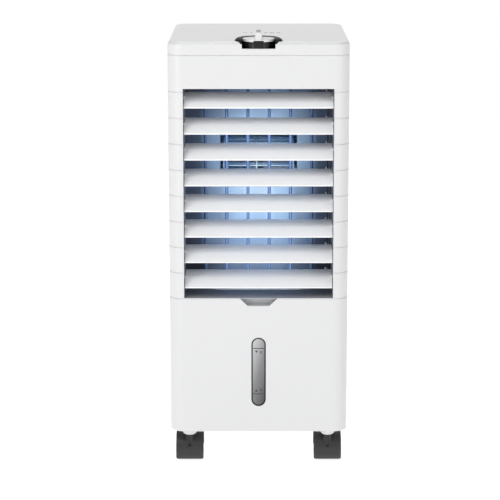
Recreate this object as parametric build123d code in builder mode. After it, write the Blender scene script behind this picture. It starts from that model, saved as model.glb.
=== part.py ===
from build123d import *

import os
from math import atan2, cos, sin

# Slim evaporative air cooler on four twin-wheel casters.
#
# +Z is up, +Y points to the back and the outlet faces -Y. The origin is on the ground under the middle of
# the casing. Air comes in through the rear grille and the wet pad, is thrown forward by a centrifugal blower,
# and leaves between the swinging vanes and the tilting louvres. The water tank is a drawer that pulls out
# at the back.

os.makedirs("parts", exist_ok=True)

# Casing
WIDTH, DEPTH = 270.0, 310.0
PANEL_Z = 650.0  # top of the lid
BASE_Z = 55.0  # lower rim of the casing
CORNER = 22.0  # radius of the upright corners
WALL = 2.5
FRONT, BACK = -DEPTH / 2, DEPTH / 2
LID_Z = 631.0  # seam under the lid
SILL_Z = 264.0  # seam between the upper and lower front shells, and the outlet's sill
SPLIT_Y = -60.0  # seam between the front shells and the side panels
SPLIT_X = 113.0  # seam between the side panels and the back panel
SEAM_GAP = 0.7
SEAM_DEPTH = 0.9

# Outlet
OUTLET_HALF = 112.0
OUTLET_TOP = 581.0
PITCH = 39.0  # louvre to louvre, and groove to groove
LOUVRES = 8
FRAME_WALL = 2.0
FRAME_FRONT, FRAME_BACK = FRONT + 2.7, -47.0
PIN_R, PIN_GAP = 1.95, 0.08
LOUVRE_HALF = 111.0
LOUVRE_THICK = 2.4
LOUVRE_FRONT_Y, LOUVRE_RUN, LOUVRE_RISE, LOUVRE_SAG = FRONT + 5.5, 45.0, 18.2, 4.0
TOP_LOUVRE_Z = 551.5  # front edge of the top louvre
LINK_R, LINK_GAP = 1.5, 0.1
LINK_ARM = 30.0  # louvre pivot to link pin
LINK_X = 103.6
VANES, VANE_PITCH, VANE_Y, VANE_CHORD, VANE_ARM = 6, 32.5, -75.0, 34.0, 22.5
VANE_LINK_Z = 301.4

# Control dial
DIAL_Y = FRONT + 24.2
DIAL_R = 24.2
COLLAR_R = 35.6
NOTCH_Z = 640.2

# Water side
DECK_Z = 242.0
TANK_HALF, TANK_FRONT, TANK_BACK, TANK_Z, TANK_TOP = 105.0, -146.0, 150.0, 76.0, 232.0
DRAWER_HALF, DRAWER_LOW, DRAWER_HIGH = 108.0, 73.0, 236.0
INTAKE_HALF, INTAKE_LOW, INTAKE_HIGH = 104.0, 286.0, 604.0
WINDOW_Z, WINDOW_W, WINDOW_H = 149.2, 21.7, 107.5
PUMP_X, PUMP_Y = -78.0, 95.0
HOSE_R = 4.5
GLAND_X, GLAND_Z, CORD_R = 60.0, 262.0, 3.6

# Blower
BLOWER_Y, BLOWER_Z, WHEEL_R, WHEEL_HALF, SHAFT_R = 27.0, 427.0, 56.0, 55.0, 4.0
SCROLL_R, SCROLL_HALF = 70.0, 62.0

# Casters
CASTER_X, CASTER_Y = 106.0, 128.0
TRAIL = 15.0  # wheel axle behind the swivel stem
WHEEL_RADIUS, WHEEL_GAP, WHEEL_OUT = 20.0, 2.8, 20.5
STEM_R, SOCKET_R, AXLE_R = 3.92, 4.0, 2.5


def keep(node, label):
    """Names a finished piece and writes it as its own node."""
    node.part.label = label
    export_step(node.part, f"parts/{label}.step")


def plan(inset=0.0, mode=Mode.ADD):
    """The casing's rounded plan, drawn inset from its outer face."""
    return RectangleRounded(WIDTH - 2 * inset, DEPTH - 2 * inset, CORNER - inset, mode=mode)


def upright(y):
    """A plane facing the front at depth y, with +X to the right and +Z up."""
    return Plane.XZ.offset(-y)


def across(x):
    """A plane facing +X, whose own axes are Y and Z."""
    return Plane.YZ.offset(x)


# ---------------------------------------------------------------- casing

with BuildPart() as casing:
    with BuildSketch(Plane.XY.offset(BASE_Z)):
        plan()
    extrude(amount=PANEL_Z - BASE_Z)
    fillet(casing.edges().group_by(Axis.Z)[0], 2.0)
    fillet(casing.edges().group_by(Axis.Z)[-1], 5.0)
    with BuildSketch(Plane.XY.offset(BASE_Z)):
        plan(WALL)
    extrude(amount=PANEL_Z - BASE_Z - WALL, mode=Mode.SUBTRACT)


def cut_groove(low, high, depth):
    """Cuts a groove round the casing between two heights."""
    with BuildSketch(Plane.XY.offset(low)) as ring:
        plan()
        plan(depth, mode=Mode.SUBTRACT)
    extrude(ring.sketch, amount=high - low, mode=Mode.SUBTRACT)


with BuildPart() as top_cover:
    add(casing.part)
    split(bisect_by=Plane.XY.offset(LID_Z), keep=Keep.TOP)
    # Round well for the dial's collar, open at the front in a narrower notch that shows the dial's skirt
    with BuildSketch(Plane.XY.offset(PANEL_Z - WALL - 0.5)):
        with Locations((0, DIAL_Y)):
            Circle(COLLAR_R + 0.3)
    extrude(amount=10, mode=Mode.SUBTRACT)
    with BuildSketch(Plane.XY.offset(NOTCH_Z)):
        with Locations((0, DIAL_Y)):
            Rectangle(2 * DIAL_R + 1.2, 60, align=(Align.CENTER, Align.MAX))
    extrude(amount=20, mode=Mode.SUBTRACT)
keep(top_cover, "top_cover")

with BuildPart() as front_shell:
    add(casing.part)
    split(bisect_by=Plane.XY.offset(LID_Z), keep=Keep.BOTTOM)
    split(bisect_by=Plane.XY.offset(SILL_Z), keep=Keep.TOP)
    split(bisect_by=upright(SPLIT_Y), keep=Keep.TOP)
    with BuildSketch(upright(FRONT - 1)):
        with Locations((0, (SILL_Z + OUTLET_TOP) / 2 - 5)):
            Rectangle(2 * OUTLET_HALF, OUTLET_TOP - SILL_Z + 10)
    extrude(amount=-(WALL + 2), mode=Mode.SUBTRACT)
    cut_groove(LID_Z - SEAM_GAP * 1.6, LID_Z, SEAM_DEPTH)
    for row in range(LOUVRES):
        groove_z = SILL_Z + PITCH * (row + 1)
        cut_groove(groove_z - SEAM_GAP, groove_z + SEAM_GAP, SEAM_DEPTH)
keep(front_shell, "front_shell")

SCOOP_TOP, SCOOP_LOW = 28.5, 16.5  # half widths of the pull scoop at the sill and at its floor
SCOOP_Z, SCOOP_ROOF, SCOOP_DEEP = SILL_Z - 12.0, 261.8, 13.0


def scoop_outline(grow, top):
    """The pull scoop's trapezium seen from the front, grown by a wall."""
    with BuildLine() as outline:
        Polyline(
            (-SCOOP_TOP - grow, top),
            (-SCOOP_LOW - grow, SCOOP_Z - grow),
            (SCOOP_LOW + grow, SCOOP_Z - grow),
            (SCOOP_TOP + grow, top),
            close=True,
        )
    make_face(outline.edges())


with BuildPart() as lower_front_shell:
    add(casing.part)
    split(bisect_by=Plane.XY.offset(SILL_Z), keep=Keep.BOTTOM)
    split(bisect_by=upright(SPLIT_Y), keep=Keep.TOP)
    cut_groove(SILL_Z - 2 * SEAM_GAP, SILL_Z, SEAM_DEPTH)
    # Pull scoop: a pocket behind a trapezium cut in the upper edge
    with BuildSketch(upright(FRONT + WALL)):
        scoop_outline(2.0, SCOOP_ROOF)
    extrude(amount=-(SCOOP_DEEP + 2.0))
    with BuildSketch(upright(FRONT + WALL)):
        scoop_outline(0.0, SCOOP_ROOF)
    extrude(amount=-SCOOP_DEEP, mode=Mode.SUBTRACT)
    with BuildSketch(upright(FRONT - 1)):
        scoop_outline(0.0, SILL_Z)
    extrude(amount=-(WALL + 1), mode=Mode.SUBTRACT)
    with BuildSketch(upright(FRONT - 1)):
        with Locations((0, WINDOW_Z)):
            SlotOverall(WINDOW_H, WINDOW_W + 0.2, rotation=90)
    extrude(amount=-(WALL + 2), mode=Mode.SUBTRACT)
keep(lower_front_shell, "lower_front_shell")

SCREWS = [(-98.0, 619.0), (98.0, 619.0), (-98.0, GLAND_Z), (98.0, GLAND_Z), (0.0, 619.0)]
SCREW_R, SCREW_HEAD_R, SCREW_LENGTH = 1.6, 3.6, 13.0

for side, word, kept in ((-1, "left", Keep.BOTTOM), (1, "right", Keep.TOP)):
    with BuildPart() as side_panel:
        add(casing.part)
        split(bisect_by=Plane.XY.offset(LID_Z), keep=Keep.BOTTOM)
        split(bisect_by=upright(SPLIT_Y), keep=Keep.BOTTOM)
        split(bisect_by=across(side * SPLIT_X), keep=kept)
        cut_groove(LID_Z - SEAM_GAP * 1.6, LID_Z, SEAM_DEPTH)
        # Shadow line down the seam with the front shells
        with Locations((side * WIDTH / 2, SPLIT_Y, BASE_Z)):
            Box(
                2 * SEAM_DEPTH, 2 * SEAM_GAP, 2 * PANEL_Z,
                align=(Align.CENTER, Align.MIN, Align.CENTER), mode=Mode.SUBTRACT,
            )
    keep(side_panel, f"side_panel_{word}")

with BuildPart() as back_panel:
    with BuildSketch(upright(BACK)):
        with Locations((0, (BASE_Z + LID_Z - 1) / 2)):
            Rectangle(2 * SPLIT_X - 0.6, LID_Z - 1 - BASE_Z)
        with Locations((0, (INTAKE_LOW + INTAKE_HIGH) / 2)):
            RectangleRounded(2 * INTAKE_HALF, INTAKE_HIGH - INTAKE_LOW, 6, mode=Mode.SUBTRACT)
        with Locations((0, (DRAWER_LOW + DRAWER_HIGH) / 2)):
            RectangleRounded(2 * DRAWER_HALF, DRAWER_HIGH - DRAWER_LOW, 6, mode=Mode.SUBTRACT)
        with Locations((GLAND_X, GLAND_Z)):
            Circle(6.2, mode=Mode.SUBTRACT)
    extrude(amount=WALL)
    fillet(back_panel.edges().filter_by(Axis.X).group_by(Axis.Z)[0].sort_by(Axis.Y)[-1], 2.0)
    # Screw pillars behind the panel
    with BuildSketch(upright(BACK - WALL)):
        with Locations(*SCREWS):
            Circle(5.0)
    extrude(amount=14)
    with BuildSketch(upright(BACK)):
        with Locations(*SCREWS):
            Circle(SCREW_HEAD_R + 0.4)
    extrude(amount=2.0, mode=Mode.SUBTRACT)
    with BuildSketch(upright(BACK)):
        with Locations(*SCREWS):
            Circle(SCREW_R)
    extrude(amount=SCREW_LENGTH + 2.0, mode=Mode.SUBTRACT)
keep(back_panel, "back_panel")

with BuildPart() as rear_screws:
    with BuildSketch(upright(BACK - 2.0)):
        with Locations(*SCREWS):
            Circle(SCREW_R)
    extrude(amount=SCREW_LENGTH)
    with BuildSketch(upright(BACK - 2.0)):
        with Locations(*SCREWS):
            Circle(SCREW_HEAD_R)
    extrude(amount=-1.8)
    for turn in (45, -45):
        with BuildSketch(upright(BACK - 0.2)):
            with Locations(*SCREWS):
                Rectangle(4.4, 0.9, rotation=turn)
        extrude(amount=1.0, mode=Mode.SUBTRACT)
keep(rear_screws, "rear_screws")

CASTERS = {
    "front_left": (-CASTER_X, -CASTER_Y),
    "front_right": (CASTER_X, -CASTER_Y),
    "rear_left": (-CASTER_X, CASTER_Y - 2 * TRAIL),
    "rear_right": (CASTER_X, CASTER_Y - 2 * TRAIL),
}
BOSS_LOW, SOCKET_TOP, PAN_Z = 43.5, 74.0, 57.0

with BuildPart() as base_pan:
    with BuildSketch(Plane.XY.offset(PAN_Z)):
        plan(WALL + 0.3)
    extrude(amount=3)
    with Locations(*[(x, y) for x, y in CASTERS.values()]):
        with Locations((0, 0, BOSS_LOW)):
            # Bowl-shaped boss under the pan and a socket above it
            Cone(9.5, 14.5, PAN_Z - BOSS_LOW, align=(Align.CENTER, Align.CENTER, Align.MIN))
        with Locations((0, 0, PAN_Z)):
            Cylinder(8.0, SOCKET_TOP - PAN_Z, align=(Align.CENTER, Align.CENTER, Align.MIN))
    fillet(base_pan.edges().filter_by(GeomType.CIRCLE).group_by(Axis.Z)[0], 5.0)
    with Locations(*[(x, y, BOSS_LOW - 1) for x, y in CASTERS.values()]):
        Cylinder(
            SOCKET_R, SOCKET_TOP - 1.5 - BOSS_LOW + 1,
            align=(Align.CENTER, Align.CENTER, Align.MIN), mode=Mode.SUBTRACT,
        )
    # Rails that carry the drawer
    with Locations((-70, 0, PAN_Z + 3), (70, 0, PAN_Z + 3)):
        Box(4, 280, TANK_Z - 0.3 - PAN_Z - 3, align=(Align.CENTER, Align.CENTER, Align.MIN))
keep(base_pan, "base_pan")

with BuildPart() as mid_deck:
    with BuildSketch(Plane.XY.offset(DECK_Z)):
        plan(WALL + 0.3)
        with Locations((PUMP_X, PUMP_Y)):
            Circle(HOSE_R + 1.0, mode=Mode.SUBTRACT)
        with Locations((0, 125)):
            Rectangle(150, 14, mode=Mode.SUBTRACT)  # drain under the pad
    extrude(amount=3)
keep(mid_deck, "mid_deck")

# ---------------------------------------------------------------- outlet: frame, louvres, vanes

chord_z = LOUVRE_RISE / 2
chord_angle = atan2(LOUVRE_RISE, LOUVRE_RUN)
PIVOT_Y = LOUVRE_FRONT_Y + LOUVRE_RUN / 2 - LOUVRE_SAG * sin(chord_angle)
PIVOT_UP = chord_z + LOUVRE_SAG * cos(chord_angle)  # pivot above the louvre's front edge
louvre_z = [TOP_LOUVRE_Z + PIVOT_UP - PITCH * i for i in range(LOUVRES)]
arm_angle = atan2(LOUVRE_RISE - PIVOT_UP, LOUVRE_FRONT_Y + LOUVRE_RUN - PIVOT_Y)
LINK_DY, LINK_DZ = LINK_ARM * cos(arm_angle), LINK_ARM * sin(arm_angle)
vane_x = [VANE_PITCH * (i - (VANES - 1) / 2) for i in range(VANES)]
FRAME_LOW, FRAME_HIGH = SILL_Z - FRAME_WALL, OUTLET_TOP + FRAME_WALL

with BuildPart() as louvre_frame:
    with BuildSketch(upright(FRAME_FRONT)):
        with Locations((0, (SILL_Z + OUTLET_TOP) / 2)):
            Rectangle(2 * (OUTLET_HALF + FRAME_WALL), OUTLET_TOP - SILL_Z + 2 * FRAME_WALL)
            Rectangle(2 * OUTLET_HALF, OUTLET_TOP - SILL_Z, mode=Mode.SUBTRACT)
    extrude(amount=-(FRAME_BACK - FRAME_FRONT))
    with BuildSketch(across(-OUTLET_HALF - FRAME_WALL - 1)):
        with Locations(*[(PIVOT_Y, z) for z in louvre_z]):
            Circle(PIN_R + PIN_GAP)
    extrude(amount=2 * (OUTLET_HALF + FRAME_WALL + 1), mode=Mode.SUBTRACT)
    with BuildSketch(Plane.XY.offset(FRAME_LOW - 1)):
        with Locations(*[(x, VANE_Y) for x in vane_x]):
            Circle(PIN_R + PIN_GAP)
    extrude(amount=FRAME_HIGH - FRAME_LOW + 2, mode=Mode.SUBTRACT)
keep(louvre_frame, "louvre_frame")


def louvre_profile(front_z):
    """A curved blade in the YZ plane, crowned towards the front and rounded along both edges."""
    back_y, back_z = LOUVRE_FRONT_Y + LOUVRE_RUN, front_z + LOUVRE_RISE
    crown_y, crown_z = PIVOT_Y, front_z + PIVOT_UP
    up_y, up_z = -sin(chord_angle) * LOUVRE_THICK / 2, cos(chord_angle) * LOUVRE_THICK / 2
    with BuildLine() as outline:
        upper = ThreePointArc(
            (LOUVRE_FRONT_Y + up_y, front_z + up_z), (crown_y + up_y, crown_z + up_z), (back_y + up_y, back_z + up_z)
        )
        lower = ThreePointArc(
            (back_y - up_y, back_z - up_z), (crown_y - up_y, crown_z - up_z), (LOUVRE_FRONT_Y - up_y, front_z - up_z)
        )
        Line(upper @ 1, lower @ 0)
        Line(lower @ 1, upper @ 0)
    make_face(outline.edges())


for i, pivot_z in enumerate(louvre_z):
    with BuildPart() as louvre:
        with BuildSketch(across(-LOUVRE_HALF)) as blade:
            louvre_profile(pivot_z - PIVOT_UP)
            fillet(blade.vertices(), 1.1)
        extrude(amount=2 * LOUVRE_HALF)
        for side in (-1, 1):
            with BuildSketch(across(side * (LOUVRE_HALF - 1.5))):
                with Locations((PIVOT_Y, pivot_z)):
                    Circle(3.2)
            extrude(amount=side * 1.5)
            with BuildSketch(across(side * LOUVRE_HALF)):
                with Locations((PIVOT_Y, pivot_z)):
                    Circle(PIN_R)
            extrude(amount=side * (OUTLET_HALF + FRAME_WALL - LOUVRE_HALF))
        # Lug and pin for the link bar
        with BuildSketch(across(LINK_X - 2.6)):
            with BuildLine():
                Polyline(
                    (PIVOT_Y + LINK_DY * 0.72, pivot_z + LINK_DZ * 0.72 + 1.9),
                    (PIVOT_Y + LINK_DY, pivot_z + LINK_DZ + 1.9),
                    (PIVOT_Y + LINK_DY, pivot_z + LINK_DZ - 1.9),
                    (PIVOT_Y + LINK_DY * 0.72, pivot_z + LINK_DZ * 0.72 - 1.9),
                    close=True,
                )
            make_face()
            with Locations((PIVOT_Y + LINK_DY, pivot_z + LINK_DZ)):
                Circle(1.9)
        extrude(amount=2.2)
        with BuildSketch(across(LINK_X - 0.4)):
            with Locations((PIVOT_Y + LINK_DY, pivot_z + LINK_DZ)):
                Circle(LINK_R)
        extrude(amount=3.0)
    keep(louvre, f"louvre_{i + 1}")

with BuildPart() as louvre_link:
    link_y, link_top = PIVOT_Y + LINK_DY, louvre_z[0] + LINK_DZ
    link_length = PITCH * (LOUVRES - 1)
    with BuildSketch(across(LINK_X)):
        with Locations((link_y, link_top - link_length / 2)):
            SlotCenterToCenter(link_length, 5.4, rotation=90)
        with Locations(*[(link_y, z + LINK_DZ) for z in louvre_z]):
            Circle(LINK_R + LINK_GAP, mode=Mode.SUBTRACT)
    extrude(amount=2.0)
keep(louvre_link, "louvre_link")

for i, x in enumerate(vane_x):
    with BuildPart() as vane:
        with BuildSketch(Plane.XY.offset(SILL_Z + 1.5)):
            with Locations((x, VANE_Y)):
                SlotOverall(VANE_CHORD, 1.8, rotation=90)
                Circle(PIN_R + 0.6)
        extrude(amount=OUTLET_TOP - SILL_Z - 3)
        pin_top = FRAME_HIGH + (9.0 if i == 0 else 0.0)  # the first vane's pin is also the swing motor's shaft
        with BuildSketch(Plane.XY.offset(FRAME_LOW)):
            with Locations((x, VANE_Y)):
                Circle(PIN_R)
        extrude(amount=pin_top - FRAME_LOW)
        with BuildSketch(Plane.XY.offset(VANE_LINK_Z - 2.6)):
            with Locations((x, VANE_Y + (VANE_CHORD / 2 + VANE_ARM) / 2 - 1)):
                Rectangle(3.6, VANE_ARM - VANE_CHORD / 2 + 2)
            with Locations((x, VANE_Y + VANE_ARM)):
                Circle(1.8)
        extrude(amount=2.2)
        with BuildSketch(Plane.XY.offset(VANE_LINK_Z - 0.4)):
            with Locations((x, VANE_Y + VANE_ARM)):
                Circle(LINK_R)
        extrude(amount=3.0)
    keep(vane, f"vane_{i + 1}")

with BuildPart() as vane_link:
    with BuildSketch(Plane.XY.offset(VANE_LINK_Z)):
        with Locations((0, VANE_Y + VANE_ARM)):
            SlotCenterToCenter(VANE_PITCH * (VANES - 1), 5.2)
        with Locations(*[(x, VANE_Y + VANE_ARM) for x in vane_x]):
            Circle(LINK_R + LINK_GAP, mode=Mode.SUBTRACT)
    extrude(amount=2.0)
keep(vane_link, "vane_link")

with BuildPart() as swing_motor:
    with BuildSketch(Plane.XY.offset(FRAME_HIGH)):
        with Locations((vane_x[0], VANE_Y)):
            Circle(14)
            SlotCenterToCenter(35, 7)
    extrude(amount=1.5)
    with BuildSketch(Plane.XY.offset(FRAME_HIGH + 1.5)):
        with Locations((vane_x[0], VANE_Y)):
            Circle(14)
    extrude(amount=18)
    fillet(swing_motor.edges().filter_by(GeomType.CIRCLE).group_by(Axis.Z)[-1], 1.2)
    with Locations((vane_x[0], VANE_Y, FRAME_HIGH)):
        Cylinder(PIN_R + PIN_GAP, 10, align=(Align.CENTER, Align.CENTER, Align.MIN), mode=Mode.SUBTRACT)
keep(swing_motor, "swing_motor")

# ---------------------------------------------------------------- control dial

SWITCH_TOP, SWITCH_LOW = 637.0, 619.0
SKIRT_LOW, SKIRT_TOP, CROWN_TOP, GRIP_TOP = 640.8, 650.0, 653.8, 664.0
GRIP_WIDTH, GRIP_LENGTH = 10.6, 46.0

with BuildPart() as dial_collar:
    # Cup with a domed rim, turned about the dial's axis
    with BuildSketch(Plane.XZ.offset(-DIAL_Y)):
        with BuildLine():
            Polyline(
                (4.2, SWITCH_TOP), (27.2, SWITCH_TOP), (27.2, 645.0), (39.0, 645.0), (39.0, 646.8),
                (COLLAR_R, 646.8), (COLLAR_R, PANEL_Z + 0.4),
            )
            ThreePointArc((COLLAR_R, PANEL_Z + 0.4), (32.6, PANEL_Z + 3.6), (27.4, PANEL_Z + 5.0))
            Polyline(
                (27.4, PANEL_Z + 5.0), (DIAL_R + 0.8, PANEL_Z + 4.2), (DIAL_R + 0.8, 639.5), (4.2, 639.5),
                (4.2, SWITCH_TOP),
            )
        make_face()
    revolve(axis=Axis((0, DIAL_Y, 0), (0, 0, 1)))
    # The front is cut back to the casing's face, and opened where the dial's skirt shows
    with Locations((0, FRONT + WALL + 0.3, 0)):
        Box(200, 60, 646.9, align=(Align.CENTER, Align.MAX, Align.MIN), mode=Mode.SUBTRACT)
    with Locations((0, FRONT + 3.2, 0)):
        Box(200, 60, 700, align=(Align.CENTER, Align.MAX, Align.MIN), mode=Mode.SUBTRACT)
    with Locations((0, DIAL_Y, NOTCH_Z)):
        Box(2 * DIAL_R + 1.2, 60, 20, align=(Align.CENTER, Align.MAX, Align.MIN), mode=Mode.SUBTRACT)
keep(dial_collar, "dial_collar")

with BuildPart() as dial_skirt:
    with BuildSketch(Plane.XY.offset(SKIRT_LOW)):
        with Locations((0, DIAL_Y)):
            Circle(DIAL_R)
            Circle(DIAL_R - 2, mode=Mode.SUBTRACT)
    extrude(amount=SKIRT_TOP - SKIRT_LOW)
    with BuildSketch(Plane.XY.offset(SKIRT_TOP - 2)):
        with Locations((0, DIAL_Y)):
            Circle(DIAL_R)
    extrude(amount=2)
    # Spindle down to the rotary switch
    with BuildSketch(Plane.XY.offset(SWITCH_LOW + 3)):
        with Locations((0, DIAL_Y)):
            Circle(3.0)
    extrude(amount=SKIRT_TOP - SWITCH_LOW - 4)
    # Dark tab that fills the crown's front notch
    with BuildSketch(Plane.XY.offset(SKIRT_TOP)):
        with Locations((0, DIAL_Y)):
            Circle(DIAL_R)
            with Locations((0, -DIAL_R + 8)):
                Rectangle(15, 20, align=(Align.CENTER, Align.MAX), mode=Mode.INTERSECT)
    extrude(amount=1.9)
keep(dial_skirt, "dial_skirt")

with BuildPart() as dial_crown:
    with BuildSketch(Plane.XY.offset(SKIRT_TOP)):
        with Locations((0, DIAL_Y)):
            Circle(DIAL_R)
    extrude(amount=CROWN_TOP - SKIRT_TOP)
    fillet(dial_crown.edges().group_by(Axis.Z)[-1], 1.0)
    with BuildSketch(Plane.XY.offset(CROWN_TOP - 0.5)):
        with Locations((0, DIAL_Y)):
            RectangleRounded(GRIP_WIDTH, GRIP_LENGTH, 2.0)
    extrude(amount=GRIP_TOP - CROWN_TOP + 0.5, taper=2)
    fillet(dial_crown.edges().group_by(Axis.Z)[-1], 1.0)
    with Locations((0, DIAL_Y - DIAL_R + 8, SKIRT_TOP)):
        Box(15, 20, 1.9, align=(Align.CENTER, Align.MAX, Align.MIN), mode=Mode.SUBTRACT)
    with BuildSketch(Plane.XY.offset(GRIP_TOP - 1.2)):
        with Locations((0, DIAL_Y)):
            RectangleRounded(7.0, 42.0, 1.6)
    extrude(amount=2, mode=Mode.SUBTRACT)
keep(dial_crown, "dial_crown")

with BuildPart() as dial_inlay:
    with BuildSketch(Plane.XY.offset(GRIP_TOP - 1.2)):
        with Locations((0, DIAL_Y)):
            RectangleRounded(7.0, 42.0, 1.6)
    extrude(amount=1.2)
keep(dial_inlay, "dial_inlay")

with BuildPart() as rotary_switch:
    with BuildSketch(Plane.XY.offset(SWITCH_LOW)):
        with Locations((0, DIAL_Y)):
            RectangleRounded(30, 28, 2)
    extrude(amount=SWITCH_TOP - SWITCH_LOW)
    with Locations((0, DIAL_Y, SWITCH_LOW + 2)):
        Cylinder(3.08, 30, align=(Align.CENTER, Align.CENTER, Align.MIN), mode=Mode.SUBTRACT)
    with BuildSketch(Plane.XY.offset(SWITCH_LOW)):
        with Locations((0, DIAL_Y)):
            with GridLocations(6, 16, 4, 2):
                Rectangle(3.2, 0.8)
    extrude(amount=-6)
keep(rotary_switch, "rotary_switch")

# ---------------------------------------------------------------- water level window

with BuildPart() as window_bezel:
    with BuildSketch(upright(FRONT)):
        with Locations((0, WINDOW_Z)):
            SlotOverall(WINDOW_H - 0.2, WINDOW_W, rotation=90)
            SlotOverall(WINDOW_H - 3.2, WINDOW_W - 3.0, rotation=90, mode=Mode.SUBTRACT)
    extrude(amount=-(WALL + 0.1))
    with BuildSketch(upright(FRONT + WALL + 0.1)):
        with Locations((0, WINDOW_Z)):
            SlotOverall(WINDOW_H + 6, WINDOW_W + 6, rotation=90)
            SlotOverall(WINDOW_H - 7, WINDOW_W - 7, rotation=90, mode=Mode.SUBTRACT)
    extrude(amount=-1.6)
keep(window_bezel, "window_bezel")

with BuildPart() as level_window:
    with BuildSketch(upright(FRONT + 0.5)):
        with Locations((0, WINDOW_Z)):
            SlotOverall(WINDOW_H - 3.4, WINDOW_W - 3.2, rotation=90)
    extrude(amount=-(WALL - 0.4))
    fillet(level_window.faces().sort_by(Axis.Y)[0].edges(), 0.8)
keep(level_window, "level_window")

# ---------------------------------------------------------------- blower

with BuildPart() as duct_plate:
    with BuildSketch(upright(FRAME_BACK)):
        with Locations((0, (SILL_Z + OUTLET_TOP) / 2)):
            Rectangle(2 * (OUTLET_HALF + FRAME_WALL), OUTLET_TOP - SILL_Z + 2 * FRAME_WALL)
        with Locations((0, 457)):
            Rectangle(2 * SCROLL_HALF - 5, 83, mode=Mode.SUBTRACT)
    extrude(amount=-2.0)
keep(duct_plate, "duct_plate")


def scroll_outline(inset):
    """The blower's scroll in the YZ plane: a round case with a straight discharge to the front."""
    top, bottom = BLOWER_Z + 3 + SCROLL_R, 412.0
    with Locations((BLOWER_Y + 3, BLOWER_Z + 3)):
        Circle(SCROLL_R - inset)
    with Locations((FRAME_BACK + 2, (top + bottom) / 2)):
        Rectangle(BLOWER_Y + 3 - FRAME_BACK - 2, top - bottom - 2 * inset, align=(Align.MIN, Align.CENTER))


with BuildPart() as blower_housing:
    with BuildSketch(across(-SCROLL_HALF)):
        scroll_outline(0)
    extrude(amount=2 * SCROLL_HALF)
    with BuildSketch(across(-SCROLL_HALF + 2.5)):
        scroll_outline(2.5)
    extrude(amount=2 * SCROLL_HALF - 5, mode=Mode.SUBTRACT)
    with BuildSketch(across(-SCROLL_HALF - 1)):
        with Locations((BLOWER_Y, BLOWER_Z)):
            Circle(47)
    extrude(amount=2 * SCROLL_HALF + 2, mode=Mode.SUBTRACT)
    # Feet down to the deck
    with Locations((-SCROLL_HALF + 4, BLOWER_Y + 3, DECK_Z + 3), (SCROLL_HALF - 4, BLOWER_Y + 3, DECK_Z + 3)):
        Box(8, 50, 137, align=(Align.CENTER, Align.CENTER, Align.MIN))
    with BuildSketch(across(-SCROLL_HALF + 2.5)):
        scroll_outline(2.5)
    extrude(amount=2 * SCROLL_HALF - 5, mode=Mode.SUBTRACT)
keep(blower_housing, "blower_housing")

MOTOR_R = 34.0
with BuildPart() as fan_motor:
    with BuildSketch(across(6)):
        with Locations((BLOWER_Y, BLOWER_Z)):
            Circle(MOTOR_R)
    extrude(amount=46)
    fillet(fan_motor.edges().filter_by(GeomType.CIRCLE), 3)
    # Three arms out to the housing's inlet ring
    with BuildSketch(across(SCROLL_HALF)):
        with Locations((BLOWER_Y, BLOWER_Z)):
            Circle(18)
            with PolarLocations(34, 3, start_angle=90):
                Rectangle(46, 9)
            Circle(54, mode=Mode.INTERSECT)
    extrude(amount=2)
    with BuildSketch(across(50)):
        with Locations((BLOWER_Y, BLOWER_Z)):
            Circle(18)
    extrude(amount=SCROLL_HALF - 50)
    with BuildSketch(across(5)):
        with Locations((BLOWER_Y, BLOWER_Z)):
            Circle(SHAFT_R + 0.06)
    extrude(amount=25, mode=Mode.SUBTRACT)
keep(fan_motor, "fan_motor")

with BuildPart() as motor_shaft:
    with BuildSketch(across(-16)):
        with Locations((BLOWER_Y, BLOWER_Z)):
            Circle(SHAFT_R)
    extrude(amount=42)
keep(motor_shaft, "motor_shaft")

BLADES = 32
with BuildPart() as blower_wheel:
    with BuildSketch(across(-WHEEL_HALF)):
        with Locations((BLOWER_Y, BLOWER_Z)):
            with PolarLocations((WHEEL_R + 44) / 2, BLADES):
                Rectangle(12.6, 1.5, rotation=32)
    extrude(amount=2 * WHEEL_HALF)
    for ring_x in (-WHEEL_HALF, -4, WHEEL_HALF - 2):
        with BuildSketch(across(ring_x)):
            with Locations((BLOWER_Y, BLOWER_Z)):
                Circle(WHEEL_R)
                if ring_x != -4:
                    Circle(44, mode=Mode.SUBTRACT)
        extrude(amount=2)
    with BuildSketch(across(-15)):
        with Locations((BLOWER_Y, BLOWER_Z)):
            Circle(12)
    extrude(amount=13)
    with BuildSketch(across(-16)):
        with Locations((BLOWER_Y, BLOWER_Z)):
            Circle(SHAFT_R)
    extrude(amount=20, mode=Mode.SUBTRACT)
keep(blower_wheel, "blower_wheel")

# ---------------------------------------------------------------- water tank, pump, pad

with BuildPart() as water_tank:
    tank_length, tank_mid = TANK_BACK - TANK_FRONT, (TANK_BACK + TANK_FRONT) / 2
    with BuildSketch(Plane.XY.offset(TANK_Z)):
        with Locations((0, tank_mid)):
            RectangleRounded(2 * TANK_HALF, tank_length, 10)
    extrude(amount=TANK_TOP - TANK_Z)
    with BuildSketch(Plane.XY.offset(TANK_Z + WALL)):
        with Locations((0, tank_mid)):
            RectangleRounded(2 * (TANK_HALF - WALL), tank_length - 2 * WALL, 7.5)
    extrude(amount=TANK_TOP, mode=Mode.SUBTRACT)
    # Handle pocket, with a lip above its mouth to pull on
    with Locations((0, TANK_BACK, 183)):
        Box(96, 27.5, TANK_TOP - 183, align=(Align.CENTER, Align.MAX, Align.MIN))
    with Locations((0, TANK_BACK, 186)):
        Box(90, 25, 43, align=(Align.CENTER, Align.MAX, Align.MIN), mode=Mode.SUBTRACT)
keep(water_tank, "water_tank")

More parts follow.
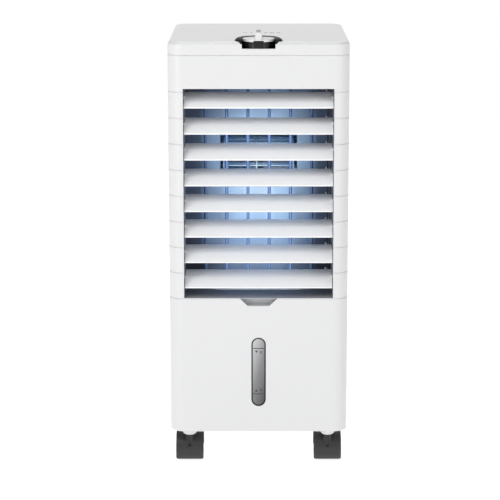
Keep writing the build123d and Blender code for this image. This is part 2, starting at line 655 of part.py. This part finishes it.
with BuildPart() as tank_fascia:
    with BuildSketch(upright(TANK_BACK)):
        with Locations((0, (DRAWER_LOW + DRAWER_HIGH) / 2)):
            RectangleRounded(2 * DRAWER_HALF - 1.2, DRAWER_HIGH - DRAWER_LOW - 1.2, 5.6)
        with Locations((0, 203)):
            RectangleRounded(88, 32, 10, mode=Mode.SUBTRACT)
    extrude(amount=TANK_BACK - BACK)
    fillet(tank_fascia.faces().sort_by(Axis.Y)[-1].outer_wire().edges(), 1.2)
keep(tank_fascia, "tank_fascia")

with BuildPart() as water_pump:
    with Locations((PUMP_X, PUMP_Y, 84)):
        Box(38, 34, 44, align=(Align.CENTER, Align.CENTER, Align.MIN))
    fillet(water_pump.edges().filter_by(Axis.Z), 5)
    with Locations((PUMP_X, PUMP_Y, 128)):
        Cylinder(6.5, 8, align=(Align.CENTER, Align.CENTER, Align.MIN))
    # Hanger up to the deck
    with Locations((PUMP_X, PUMP_Y + 14, 120)):
        Box(26, 3, DECK_Z - 120, align=(Align.CENTER, Align.CENTER, Align.MIN))
keep(water_pump, "water_pump")

HOSE_LOW, HOSE_HIGH, HOSE_OVER, HOSE_END = 136.0, 630.0, 32.0, 614.0
with BuildPart() as water_hose:
    with BuildLine() as hose_path:
        FilletPolyline(
            (PUMP_X, PUMP_Y, HOSE_LOW),
            (PUMP_X, PUMP_Y, HOSE_HIGH),
            (PUMP_X, PUMP_Y + HOSE_OVER, HOSE_HIGH),
            (PUMP_X, PUMP_Y + HOSE_OVER, HOSE_END),
            radius=13,
        )
    with BuildSketch(Plane.XY.offset(HOSE_LOW)):
        with Locations((PUMP_X, PUMP_Y)):
            Circle(HOSE_R)
    sweep()
keep(water_hose, "water_hose")

with BuildPart() as drip_tray:
    with Locations((0, BACK - WALL, 606)):
        Box(200, 44, 16, align=(Align.CENTER, Align.MAX, Align.MIN))
    with Locations((0, BACK - WALL - 2 - 6, 608)):
        Box(196, 34, 20, align=(Align.CENTER, Align.MAX, Align.MIN), mode=Mode.SUBTRACT)
    with Locations((0, 124, 600)):
        with GridLocations(24, 1, 8, 1):
            Box(14, 2.5, 20, mode=Mode.SUBTRACT)
    # Clearance round the screw pillars
    with BuildSketch(upright(BACK)):
        with Locations(*[(x, z) for x, z in SCREWS if z > 600]):
            Circle(5.4)
    extrude(amount=18, mode=Mode.SUBTRACT)
keep(drip_tray, "drip_tray")

GRILLE_ROWS, GRILLE_PITCH, BASKET_HALF = 26, 11.0, 102.0
grille_z = (INTAKE_LOW + INTAKE_HIGH) / 2
with BuildPart() as rear_grille:
    with BuildSketch(upright(BACK)):
        with Locations((0, grille_z)):
            RectangleRounded(2 * INTAKE_HALF - 1.2, INTAKE_HIGH - INTAKE_LOW - 1.2, 5.6)
    extrude(amount=6)
    fillet(rear_grille.faces().sort_by(Axis.Y)[-1].edges(), 1.2)
    # Basket that holds the filter and the pad
    with BuildSketch(upright(BACK - 6)):
        with Locations((0, grille_z)):
            Rectangle(2 * BASKET_HALF, 313)
            Rectangle(2 * BASKET_HALF - 4, 309, mode=Mode.SUBTRACT)
    extrude(amount=40)
    with BuildSketch(upright(BACK + 1)):
        with Locations((0, grille_z)):
            with GridLocations(97, GRILLE_PITCH, 2, GRILLE_ROWS):
                SlotOverall(88, 6.4)
    extrude(amount=8, mode=Mode.SUBTRACT)
    with Locations((0, 125, INTAKE_HIGH - 4)):
        Box(190, 14, 12, mode=Mode.SUBTRACT)  # drip slot above the pad
    with Locations((0, BACK - 46, grille_z - 78), (0, BACK - 46, grille_z + 78)):
        Box(2 * BASKET_HALF - 2, 2, 5)
keep(rear_grille, "rear_grille")

with BuildPart() as dust_filter:
    with Locations((0, BACK - 6.2, grille_z)):
        Box(2 * BASKET_HALF - 5, 1.6, 308, align=(Align.CENTER, Align.MAX, Align.CENTER))
keep(dust_filter, "dust_filter")

with BuildPart() as cooling_pad:
    with Locations((0, BACK - 8.2, grille_z)):
        Box(2 * BASKET_HALF - 6, 35, 307, align=(Align.CENTER, Align.MAX, Align.CENTER))
keep(cooling_pad, "cooling_pad")

with BuildPart() as cord_gland:
    with BuildSketch(upright(BACK)):
        with Locations((GLAND_X, GLAND_Z)):
            Circle(6.0)
    extrude(amount=14)
    with BuildSketch(upright(BACK - WALL)):
        with Locations((GLAND_X, GLAND_Z)):
            Circle(9.0)
    extrude(amount=2.5)
    with BuildSketch(upright(BACK + 1)):
        with Locations((GLAND_X, GLAND_Z)):
            Circle(CORD_R)
    extrude(amount=20, mode=Mode.SUBTRACT)
keep(cord_gland, "cord_gland")

# ---------------------------------------------------------------- casters

HOOD_IN, HOOD_OUT, HOOD_HALF, HOOD_LOW = 21.2, 23.4, 21.0, 3.0
HOOD_WEB, HOOD_BOSS_R, HOOD_BOSS_TOP, STEM_LOW = 2.0, 7.0, 42.5, 37.4
for place, (stem_x, stem_y) in CASTERS.items():
    axle_y = stem_y + TRAIL
    with BuildPart() as hood:
        # Fender, low at the front and cut short behind, over a web that carries the axle between the wheels
        with BuildSketch(across(stem_x - HOOD_HALF)):
            with Locations((axle_y, WHEEL_RADIUS)):
                Circle(HOOD_OUT)
            with Locations((axle_y - 8, WHEEL_RADIUS - 4)):
                Rectangle(80, 60, align=(Align.MIN, Align.MAX), mode=Mode.SUBTRACT)
        extrude(amount=2 * HOOD_HALF)
        with BuildSketch(across(stem_x - HOOD_WEB)):
            with Locations((axle_y, WHEEL_RADIUS)):
                Circle(HOOD_OUT)
            with Locations((axle_y, WHEEL_RADIUS - 8)):
                Rectangle(80, 60, align=(Align.CENTER, Align.MAX), mode=Mode.SUBTRACT)
        extrude(amount=2 * HOOD_WEB)
        with Locations((stem_x, stem_y, 27)):
            Cylinder(HOOD_BOSS_R, HOOD_BOSS_TOP - 27, align=(Align.CENTER, Align.CENTER, Align.MIN))
        for side in (-1, 1):
            with BuildSketch(across(stem_x + side * HOOD_WEB)):
                with Locations((axle_y, WHEEL_RADIUS)):
                    Circle(HOOD_IN)
            extrude(amount=side * 30, mode=Mode.SUBTRACT)
        # Rounded lower corners, and a slot down the front between two ribs
        with BuildSketch(upright(stem_y - 60)):
            with Locations((stem_x, HOOD_LOW)):
                RectangleRounded(2 * HOOD_HALF, 80, 3.0, align=(Align.CENTER, Align.MIN))
        extrude(amount=-120, mode=Mode.INTERSECT)
        with Locations((stem_x, stem_y - 4.9, 25)):
            Box(4.4, 20, 30, align=(Align.CENTER, Align.MAX, Align.MIN), mode=Mode.SUBTRACT)
        with BuildSketch(across(stem_x - 5)):
            with Locations((axle_y, WHEEL_RADIUS)):
                Circle(AXLE_R + 0.02)
        extrude(amount=10, mode=Mode.SUBTRACT)
        with Locations((stem_x, stem_y, STEM_LOW)):
            Cylinder(STEM_R + 0.02, 20, align=(Align.CENTER, Align.CENTER, Align.MIN), mode=Mode.SUBTRACT)
    keep(hood, f"caster_hood_{place}")
    with BuildPart() as pins:
        with Locations((stem_x, stem_y, STEM_LOW)):
            Cylinder(STEM_R, 72 - STEM_LOW, align=(Align.CENTER, Align.CENTER, Align.MIN))
        with BuildSketch(across(stem_x - 17)):
            with Locations((axle_y, WHEEL_RADIUS)):
                Circle(AXLE_R)
        extrude(amount=34)
    keep(pins, f"caster_pins_{place}")
    with BuildPart() as wheels:
        for side in (-1, 1):
            with BuildSketch(across(stem_x + side * WHEEL_GAP)):
                with Locations((axle_y, WHEEL_RADIUS)):
                    Circle(WHEEL_RADIUS)
            extrude(amount=side * (WHEEL_OUT - WHEEL_GAP))
        rims = wheels.edges().filter_by(GeomType.CIRCLE).group_by(Axis.X)
        fillet(rims[0] + rims[-1], 3.0)
        for side in (-1, 1):
            with BuildSketch(across(stem_x + side * (WHEEL_OUT - 1.2))):
                with Locations((axle_y, WHEEL_RADIUS)):
                    Circle(14)
                    Circle(6, mode=Mode.SUBTRACT)
            extrude(amount=side * 2, mode=Mode.SUBTRACT)
        with BuildSketch(across(stem_x - 17.1)):
            with Locations((axle_y, WHEEL_RADIUS)):
                Circle(AXLE_R + 0.07)
        extrude(amount=34.2, mode=Mode.SUBTRACT)
    keep(wheels, f"caster_wheels_{place}")
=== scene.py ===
"""Studio scene of the evaporative cooler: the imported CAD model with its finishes, prints and light."""
from math import cos, pi, sin

import bmesh
import bpy
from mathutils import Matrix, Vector


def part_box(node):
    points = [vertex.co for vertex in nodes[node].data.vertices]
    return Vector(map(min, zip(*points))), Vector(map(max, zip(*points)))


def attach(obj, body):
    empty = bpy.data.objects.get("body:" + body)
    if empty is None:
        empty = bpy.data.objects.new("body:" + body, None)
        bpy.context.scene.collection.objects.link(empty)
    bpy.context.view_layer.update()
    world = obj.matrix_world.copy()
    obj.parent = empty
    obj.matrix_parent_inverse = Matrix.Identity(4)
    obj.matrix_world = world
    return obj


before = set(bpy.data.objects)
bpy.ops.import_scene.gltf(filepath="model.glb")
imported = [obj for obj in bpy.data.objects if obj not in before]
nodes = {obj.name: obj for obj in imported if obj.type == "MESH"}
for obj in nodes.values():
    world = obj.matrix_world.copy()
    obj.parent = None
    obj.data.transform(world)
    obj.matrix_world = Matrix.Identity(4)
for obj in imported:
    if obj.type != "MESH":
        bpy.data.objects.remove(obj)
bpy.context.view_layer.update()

MM = 0.001
CASTERS = ("front_left", "front_right", "rear_left", "rear_right")
LOUVRES = [f"louvre_{i}" for i in range(1, 9)]
VANES = [f"vane_{i}" for i in range(1, 7)]


# ---------------------------------------------------------------- materials


class Shader:
    """A Principled material with short calls for the textures that feed it."""

    def __init__(self, name, color, roughness, **sockets):
        self.material = bpy.data.materials.new(name)
        self.material.use_nodes = True
        self.tree = self.material.node_tree
        self.bsdf = self.tree.nodes["Principled BSDF"]
        self.bsdf.inputs["Base Color"].default_value = (*color, 1)
        self.bsdf.inputs["Roughness"].default_value = roughness
        for socket, value in sockets.items():
            self.bsdf.inputs[socket.replace("_", " ")].default_value = value
        self.place = self.tree.nodes.new("ShaderNodeTexCoord").outputs["Object"]

    def node(self, kind, links=(), **values):
        made = self.tree.nodes.new(kind)
        for key, value in values.items():
            if key in made.inputs:
                made.inputs[key].default_value = value
            else:
                setattr(made, key, value)
        for socket, source in dict(links).items():
            self.tree.links.new(source, made.inputs[socket])
        return made

    def noise(self, scale, detail=2.0, stretch=(1, 1, 1)):
        """Noise in the object's own metres, stretched along the given axes."""
        placed = self.node("ShaderNodeMapping", {"Vector": self.place})
        placed.inputs["Scale"].default_value = stretch
        vector = {"Vector": placed.outputs["Vector"]}
        made = self.node("ShaderNodeTexNoise", vector, Scale=scale, Detail=detail)
        return made.outputs["Fac"]

    def axis(self, name):
        """One of the object's coordinates, in metres."""
        return self.node("ShaderNodeSeparateXYZ", {"Vector": self.place}).outputs[name]

    def remap(self, value, low, high, to_low=0.0, to_high=1.0):
        made = self.node("ShaderNodeMapRange", {"Value": value})
        made.inputs["From Min"].default_value = low
        made.inputs["From Max"].default_value = high
        made.inputs["To Min"].default_value = to_low
        made.inputs["To Max"].default_value = to_high
        return made.outputs["Result"]

    def math(self, operation, a, b):
        made = self.node("ShaderNodeMath", operation=operation)
        for socket, value in zip(made.inputs, (a, b)):
            if isinstance(value, (int, float)):
                socket.default_value = value
            else:
                self.tree.links.new(value, socket)
        return made.outputs["Value"]

    def ramp(self, value, *stops):
        """Colours at places from 0 to 1."""
        made = self.node("ShaderNodeValToRGB", {"Fac": value})
        points = made.color_ramp.elements
        while len(points) < len(stops):
            points.new(0.5)
        for point, (place, color) in zip(points, stops):
            point.position = place
            point.color = (*color, 1)
        return made.outputs["Color"]

    def color(self, source):
        self.tree.links.new(source, self.bsdf.inputs["Base Color"])

    def roughness(self, source):
        self.tree.links.new(source, self.bsdf.inputs["Roughness"])

    def bump(self, height, distance, strength=1.0):
        made = self.node("ShaderNodeBump", {"Height": height}, Distance=distance, Strength=strength)
        self.tree.links.new(made.outputs["Normal"], self.bsdf.inputs["Normal"])


def scaled(color, factor):
    return tuple(min(1.0, c * factor) for c in color)


def moulded(name, color, roughness, grain=900.0, depth=0.00004, variation=0.04, rub=0.06, **sockets):
    """Moulded plastic: a fine eggshell grain, slow tone drift and slightly uneven gloss."""
    made = Shader(name, color, roughness, **sockets)
    drift = made.noise(9.0, 3.0)
    made.color(made.ramp(drift, (0.3, scaled(color, 1 - variation)), (0.7, scaled(color, 1 + variation))))
    made.roughness(made.remap(made.noise(22.0, 4.0), 0.3, 0.7, roughness - rub, roughness + rub))
    made.bump(made.noise(grain, 3.0), depth)
    return made.material


def louvre_plastic(color):
    """The louvres' plastic, whose blades carry faint mould flow lines along their length."""
    made = Shader("louvre_abs_painted_light", color, 0.3, Coat_Weight=0.1, Coat_Roughness=0.2)
    flow = made.noise(60.0, 3.0, (0.05, 1, 1))
    made.color(made.ramp(flow, (0.3, scaled(color, 0.985)), (0.7, scaled(color, 1.01))))
    made.roughness(made.remap(made.noise(18.0, 4.0), 0.3, 0.7, 0.28, 0.32))
    made.bump(made.noise(800.0, 2.0), 0.00003)
    return made.material


def duct_plastic_painted_glow():
    """Blue moulding behind the outlet, with a painted glow: lighter towards the middle of the air stream and
    darkened by painted shade towards its edges.
    """
    made = Shader("painted_glow_duct_abs", (0.02, 0.05, 0.2), 0.42)
    side = made.math("MULTIPLY", made.axis("X"), 7.0)
    rise = made.math("MULTIPLY", made.math("SUBTRACT", made.axis("Z"), 0.44), 4.6)
    squares = made.math("ADD", made.math("MULTIPLY", side, side), made.math("MULTIPLY", rise, rise))
    reach = made.math("SQRT", squares, 0)
    # painted glow and painted shade: the blue is paled near the middle of the outlet and darkened away from
    # it, standing in for light in the air stream
    glow_falloff = made.math("ADD", reach, made.remap(made.noise(14.0), 0.3, 0.7, -0.06, 0.06))
    made.color(
        made.ramp(
            glow_falloff,
            (0.0, (0.6, 0.76, 0.9)),
            (0.4, (0.36, 0.56, 0.8)),
            (0.75, (0.12, 0.2, 0.36)),
            (1.0, (0.05, 0.07, 0.12)),
        )
    )
    made.bump(made.noise(700.0, 2.0), 0.00005)
    return made.material


def frosted_lens():
    """Frosted level window with a painted reflection: paler at its upper left, darkening with painted shade
    to its lower right.
    """
    low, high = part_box("level_window")
    made = Shader("frosted_lens", (0.5, 0.51, 0.53), 0.25, Coat_Weight=0.3, Coat_Roughness=0.06)
    down = made.remap(made.axis("Z"), high.z, low.z)
    over = made.remap(made.axis("X"), low.x, high.x)
    # painted reflection and painted shade: pale grey at the upper left fading to near black at the lower
    # right
    painted_reflection_fade = made.math("ADD", made.math("MULTIPLY", down, 0.62), made.math("MULTIPLY", over, 0.38))
    stops = (0.05, (0.52, 0.525, 0.53)), (0.5, (0.2, 0.2, 0.21)), (0.95, (0.04, 0.04, 0.045))
    made.color(made.ramp(painted_reflection_fade, *stops))
    made.bump(made.noise(500.0, 4.0), 0.00003)
    return made.material


def woven_mesh():
    """Fine nylon mesh: raised threads both ways, with painted shade making the holes between them near
    black.
    """
    pitch = 2 * pi / 0.0022
    made = Shader("filter_mesh", (0.05, 0.05, 0.055), 0.55)
    threads = []
    for name in ("X", "Z"):
        wave = made.math("SINE", made.math("MULTIPLY", made.axis(name), pitch), 0)
        threads.append(made.remap(wave, -1, 1))
    # painted shade: the holes between threads are darkened to stand in for the shade seen through them
    weave_and_painted_hole_shade = made.math("MAXIMUM", *threads)
    made.color(made.ramp(weave_and_painted_hole_shade, (0.45, (0.008, 0.008, 0.009)), (0.75, (0.09, 0.09, 0.1))))
    made.bump(weave_and_painted_hole_shade, 0.0003)
    return made.material


def corrugated_pad():
    """Wet cellulose pad: upright corrugations crossed by glue lines, tea coloured and blotchy with damp,
    with painted shade darkening the troughs of the corrugations.
    """
    made = Shader("pad_paper", (0.4, 0.27, 0.13), 0.85)
    bend = made.math("MULTIPLY", made.math("SINE", made.math("MULTIPLY", made.axis("Z"), 700), 0), 0.0025)
    across = made.math("ADD", made.axis("X"), bend)
    wave = made.math("SINE", made.math("MULTIPLY", across, 2 * pi / 0.007), 0)
    corrugation_and_painted_shade = made.remap(wave, -1, 1)
    damp = made.noise(12.0, 4.0)
    # painted shade: the corrugation troughs go near black and the crests lighter; the damp blotches are the
    # pad's own staining
    damp_and_painted_shade = made.math("MULTIPLY", corrugation_and_painted_shade, made.remap(damp, 0.3, 0.7, 0.55, 1.0))
    stops = (0.05, (0.05, 0.03, 0.014)), (0.5, (0.3, 0.19, 0.085)), (1.0, (0.52, 0.37, 0.19))
    made.color(made.ramp(damp_and_painted_shade, *stops))
    made.bump(corrugation_and_painted_shade, 0.002)
    return made.material


def metal(name, color, roughness, stretch):
    """Bare or plated metal with fine drawing lines."""
    made = Shader(name, color, roughness, Metallic=1.0)
    lines = made.noise(900.0, 2.0, stretch)
    made.color(made.ramp(lines, (0.3, scaled(color, 0.85)), (0.7, scaled(color, 1.1))))
    made.roughness(made.remap(lines, 0.3, 0.7, roughness - 0.08, roughness + 0.1))
    made.bump(lines, 0.00002)
    return made.material


def translucent(name, color, roughness):
    """Milky moulded polypropylene or silicone."""
    made = Shader(name, color, roughness, Subsurface_Weight=0.25, Subsurface_Scale=0.004)
    drift = made.noise(16.0, 4.0)
    made.color(made.ramp(drift, (0.3, scaled(color, 0.95)), (0.7, scaled(color, 1.03))))
    made.bump(made.noise(420.0, 3.0), 0.00006)
    return made.material


WHITE = (0.69, 0.692, 0.698)
# the louvres take the casing's white plastic painted lighter, standing in for light reaching them inside the
# outlet recess
LOUVRE_WHITE_PAINTED_LIGHT = (0.93, 0.935, 0.94)
white_abs = moulded(
    "white_abs", WHITE, 0.3, variation=0.004, rub=0.015, Coat_Weight=0.1, Coat_Roughness=0.12
)
louvre_abs_painted_light = louvre_plastic(LOUVRE_WHITE_PAINTED_LIGHT)
grey_abs = moulded("dark_grey_abs", (0.34, 0.355, 0.38), 0.45, variation=0.08)
painted_glow_duct_abs = duct_plastic_painted_glow()
vane_abs = moulded("vane_abs", (0.07, 0.13, 0.27), 0.4, variation=0.1)
black_gloss = moulded(
    "black_gloss", (0.008, 0.008, 0.009), 0.14,
    depth=0.00001, variation=0.2, rub=0.03, Specular_IOR_Level=0.3,
)
black_satin = moulded(
    "black_satin", (0.012, 0.012, 0.013), 0.4, depth=0.00002, variation=0.2, Specular_IOR_Level=0.12
)
black_nylon = moulded("black_nylon", (0.018, 0.018, 0.02), 0.45, depth=0.00006, variation=0.15)
caster_nylon = moulded("caster_nylon", (0.011, 0.011, 0.012), 0.3, depth=0.00003, variation=0.2, rub=0.08)
inlay_grey = moulded("inlay_grey", (0.27, 0.27, 0.28), 0.38, depth=0.00002, variation=0.05)
print_grey = moulded("print_grey", (0.16, 0.16, 0.17), 0.5, depth=0.00001, variation=0.08)
print_black = moulded("print_black", (0.02, 0.02, 0.022), 0.45, depth=0.00001, variation=0.1)
milky = translucent("milky_polypropylene", (0.72, 0.75, 0.78), 0.35)
silicone = translucent("silicone_tube", (0.66, 0.7, 0.72), 0.3)
steel = metal("plated_steel", (0.6, 0.6, 0.61), 0.3, (1, 0.1, 1))
can_metal = metal("motor_can", (0.5, 0.51, 0.52), 0.38, (0.1, 1, 1))
filter_mesh = woven_mesh()
pad_paper = corrugated_pad()
lens = frosted_lens()

FINISHES = {
    white_abs: (
        "top_cover", "front_shell", "lower_front_shell", "side_panel_left", "side_panel_right", "back_panel",
        "rear_grille", "tank_fascia", "base_pan", "dial_crown",
    ),
    louvre_abs_painted_light: LOUVRES,
    grey_abs: ("louvre_frame",),
    # the blower housing and wheel take the duct's painted glow and painted shade too
    painted_glow_duct_abs: ("duct_plate", "blower_housing", "blower_wheel"),
    vane_abs: VANES,
    black_gloss: ("dial_skirt", "window_bezel"),
    black_satin: ("dial_collar",),
    black_nylon: (
        "louvre_link", "vane_link", "rotary_switch", "swing_motor", "water_pump", "cord_gland",
        *(f"caster_hood_{place}" for place in CASTERS),
    ),
    caster_nylon: [f"caster_wheels_{place}" for place in CASTERS],
    inlay_grey: ("dial_inlay",),
    lens: ("level_window",),
    milky: ("mid_deck", "water_tank", "drip_tray"),
    silicone: ("water_hose",),
    steel: ("rear_screws", "motor_shaft", *(f"caster_pins_{place}" for place in CASTERS)),
    can_metal: ("fan_motor",),
    filter_mesh: ("dust_filter",),
    pad_paper: ("cooling_pad",),
}
for material, names in FINISHES.items():
    for name in names:
        for place in nodes[name].material_slots:
            place.material = material


# ---------------------------------------------------------------- modelled pieces


def piece(name, mesh_maker, material, body):
    """Makes a mesh piece that rides a body and takes its finish from a slot."""
    form = bmesh.new()
    mesh_maker(form)
    bmesh.ops.recalc_face_normals(form, faces=form.faces)
    mesh = bpy.data.meshes.new(name)
    form.to_mesh(mesh)
    form.free()
    made = bpy.data.objects.new(name, mesh)
    bpy.context.scene.collection.objects.link(made)
    mesh.materials.append(material)
    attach(made, body)
    return made


def slab(form, outline, place, thickness):
    """Adds a closed prism: outline points (u, v) put in space by place(u, v, w), w from 0 to thickness."""
    rings = [[form.verts.new(place(u, v, w)) for u, v in outline] for w in (0.0, thickness)]
    form.faces.new(rings[0])
    form.faces.new(rings[1])
    for i in range(len(outline)):
        j = (i + 1) % len(outline)
        form.faces.new((rings[0][i], rings[0][j], rings[1][j], rings[1][i]))


def ring(form, centre, radius, width, place, thickness, steps=28):
    """Adds a flat printed ring."""
    for i in range(steps):
        ends = [2 * pi * k / steps for k in (i, i + 1)]
        inner = radius - width
        turns = ((radius, ends[0]), (radius, ends[1]), (inner, ends[1]), (inner, ends[0]))
        outline = [(centre[0] + r * cos(a), centre[1] + r * sin(a)) for r, a in turns]
        slab(form, outline, place, thickness)


def bar(centre, width, height):
    """A rectangle's four corners about a centre."""
    u, v = centre
    return [(u + a * width / 2, v + b * height / 2) for a, b in ((-1, -1), (1, -1), (1, 1), (-1, 1))]


def drop(centre, size, steps=20):
    """A water drop's outline, its point towards +v."""
    points = []
    for i in range(steps):
        a = pi / 2 + 2 * pi * i / steps
        stretch = 1.0 + 0.9 * max(0.0, sin(a)) ** 6
        narrow = 1 - 0.3 * max(0.0, sin(a))
        points.append((centre[0] + size * cos(a) * narrow, centre[1] + size * sin(a) * stretch))
    return points


PRINT = 0.08 * MM  # how far a print stands off its surface
lid_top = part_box("top_cover")[1].z


def on_lid(u, v, w):
    return Vector((u, v, lid_top + w))


def lid_marks(form):
    """Printed speed marks behind the dial: a ring for off, one to three bars, and a drop for the pump."""
    row, bar_pitch = -6 * MM, 2.6
    ring(form, (-21.6 * MM, row), 3.2 * MM, 1.0 * MM, on_lid, PRINT)
    for count, middle in ((1, -10.9), (2, 10.9), (3, 20.4)):
        for k in range(count):
            offset = (k - (count - 1) / 2) * bar_pitch
            slab(form, bar(((middle + offset) * MM, row), 1.5 * MM, 11 * MM), on_lid, PRINT)
    slab(form, drop((30.6 * MM, row - 2 * MM), 3.4 * MM), on_lid, PRINT)


piece("lid_marks", lid_marks, print_grey, "casing")

window_low, window_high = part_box("level_window")


def on_window(u, v, w):
    return Vector((u, window_low.y - w, v))


def level_marks(form):
    """Upper and lower level lines across the window, each with a small arrow and bar inside it."""
    width = window_high.x - window_low.x - 2 * MM
    for line, inward in ((window_high.z - 15.2 * MM, -1), (window_low.z + 17.6 * MM, 1)):
        slab(form, bar((0, line), width, 1.1 * MM), on_window, PRINT)
        tip = line + inward * 7.2 * MM
        foot = line + inward * 3.4 * MM
        slab(form, [(-5.4 * MM, foot), (-1.4 * MM, foot), (-3.4 * MM, tip)], on_window, PRINT)
        middle = (foot + tip) / 2
        slab(form, bar((3.6 * MM, middle), 3.4 * MM, 1.2 * MM), on_window, PRINT)
        slab(form, bar((3.6 * MM, middle + inward * 2.0 * MM), 3.4 * MM, 1.0 * MM), on_window, PRINT)


piece("level_marks", level_marks, print_black, "casing")


def domed_cap(side, centre):
    """Returns a maker for a shallow domed hub cap turned about X."""
    profile = [(0.0, 1.0), (2.0, 0.96), (3.6, 0.8), (4.8, 0.45), (5.4, 0.0), (5.4, -0.9)]

    def make(form):
        rings = []
        for radius, height in profile[1:]:
            x = centre.x + side * height * MM
            ring_points = []
            for i in range(32):
                a = 2 * pi * i / 32
                rim = (x, centre.y + radius * MM * cos(a), centre.z + radius * MM * sin(a))
                ring_points.append(form.verts.new(rim))
            rings.append(ring_points)
        tip = form.verts.new((centre.x + side * profile[0][1] * MM, centre.y, centre.z))
        for i in range(32):
            j = (i + 1) % 32
            form.faces.new((tip, rings[0][i], rings[0][j]))
            for inner, outer in zip(rings, rings[1:]):
                form.faces.new((inner[i], outer[i], outer[j], inner[j]))
        form.faces.new(rings[-1])

    return make


for place in CASTERS:
    low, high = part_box(f"caster_wheels_{place}")
    middle = (low + high) / 2
    for side, word in ((-1, "left"), (1, "right")):
        face = Vector((high.x if side > 0 else low.x, middle.y, middle.z)) - Vector((side * 1.0 * MM, 0, 0))
        cap = piece(
            f"hub_cap_{place}_{word}", domed_cap(side, face), black_satin, f"wheels_{place}"
        )
        for facet in cap.data.polygons:
            facet.use_smooth = True


# ---------------------------------------------------------------- floor, light and camera


def floor():
    """Pale studio floor, wide enough to fill the view."""
    mesh = bpy.data.meshes.new("floor")
    reach = 40.0  # metres either way
    corners = [(-reach, -reach, 0), (reach, -reach, 0), (reach, reach, 0), (-reach, reach, 0)]
    mesh.from_pydata(corners, [], [(0, 1, 2, 3)])
    made = bpy.data.objects.new("floor", mesh)
    bpy.context.scene.collection.objects.link(made)
    paper = Shader("floor_paper", (0.6, 0.6, 0.6), 0.9, Emission_Strength=0.8)
    paper.bsdf.inputs["Emission Color"].default_value = (1, 1, 1, 1)
    paper.bsdf.inputs["Specular IOR Level"].default_value = 0.1
    paper.color(paper.ramp(paper.noise(3.0), (0.3, (0.59, 0.59, 0.59)), (0.7, (0.61, 0.61, 0.61))))
    mesh.materials.append(paper.material)


def softbox(name, place, aim, width, height, watts):
    """A rectangular light that faces a point."""
    light = bpy.data.lights.new(name, "AREA")
    light.shape = "RECTANGLE"
    light.size, light.size_y = width, height
    light.energy = watts
    made = bpy.data.objects.new(name, light)
    made.location = place
    made.rotation_euler = (Vector(aim) - Vector(place)).to_track_quat("-Z", "Y").to_euler()
    bpy.context.scene.collection.objects.link(made)


def studio():
    """White sky at the horizon, dim overhead, with softboxes and a small fill inside the outlet."""
    world = bpy.data.worlds.new("studio")
    world.use_nodes = True
    tree = world.node_tree
    split = tree.nodes.new("ShaderNodeSeparateXYZ")
    fade = tree.nodes.new("ShaderNodeMapRange")
    tree.links.new(tree.nodes.new("ShaderNodeTexCoord").outputs["Generated"], split.inputs["Vector"])
    tree.links.new(split.outputs["Z"], fade.inputs["Value"])
    for socket, value in (("From Min", 0.1), ("From Max", 0.3), ("To Min", 1.02), ("To Max", 0.3)):
        fade.inputs[socket].default_value = value
    tree.links.new(fade.outputs["Result"], tree.nodes["Background"].inputs["Strength"])
    tree.nodes["Background"].inputs["Color"].default_value = (1, 1, 1, 1)
    bpy.context.scene.world = world
    middle = (0, 0, 0.34)
    softbox("key_front", (-0.8, -2.3, 2.8), middle, 1.8, 1.6, 44)
    softbox("strip_left", (-1.5, -1.9, 0.7), middle, 0.2, 1.6, 5)
    softbox("strip_right", (1.5, -1.9, 0.7), middle, 0.2, 1.6, 3)
    softbox("top_back", (0, 1.3, 2.3), (0, 0, 0.65), 1.4, 1.0, 24)
    softbox("outlet_fill", (0, -0.098, 0.4), (0, 0.2, 0.4), 0.13, 0.27, 0.22)
    bpy.context.scene.view_settings.view_transform = "Standard"


LENS = 135.1  # focal length in mm on a 36 mm sensor
CAMERA_BACK, CAMERA_HEIGHT = 2.75, 0.9239  # metres in front of the front shell, and above the floor
CAMERA_TILT = 0.1911  # radians down from level
CAMERA_SHIFT = (-0.0172, -0.07)


def camera():
    """A long lens from in front and above, aimed so that the object fills the frame."""
    data = bpy.data.cameras.new("camera")
    data.sensor_width = 36.0
    data.lens = LENS
    data.shift_x, data.shift_y = CAMERA_SHIFT
    data.clip_end = 200
    made = bpy.data.objects.new("camera", data)
    made.location = (0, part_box("front_shell")[0].y - CAMERA_BACK, CAMERA_HEIGHT)
    made.rotation_euler = (pi / 2 - CAMERA_TILT, 0, 0)
    bpy.context.scene.collection.objects.link(made)
    bpy.context.scene.camera = made


floor()
studio()
camera()
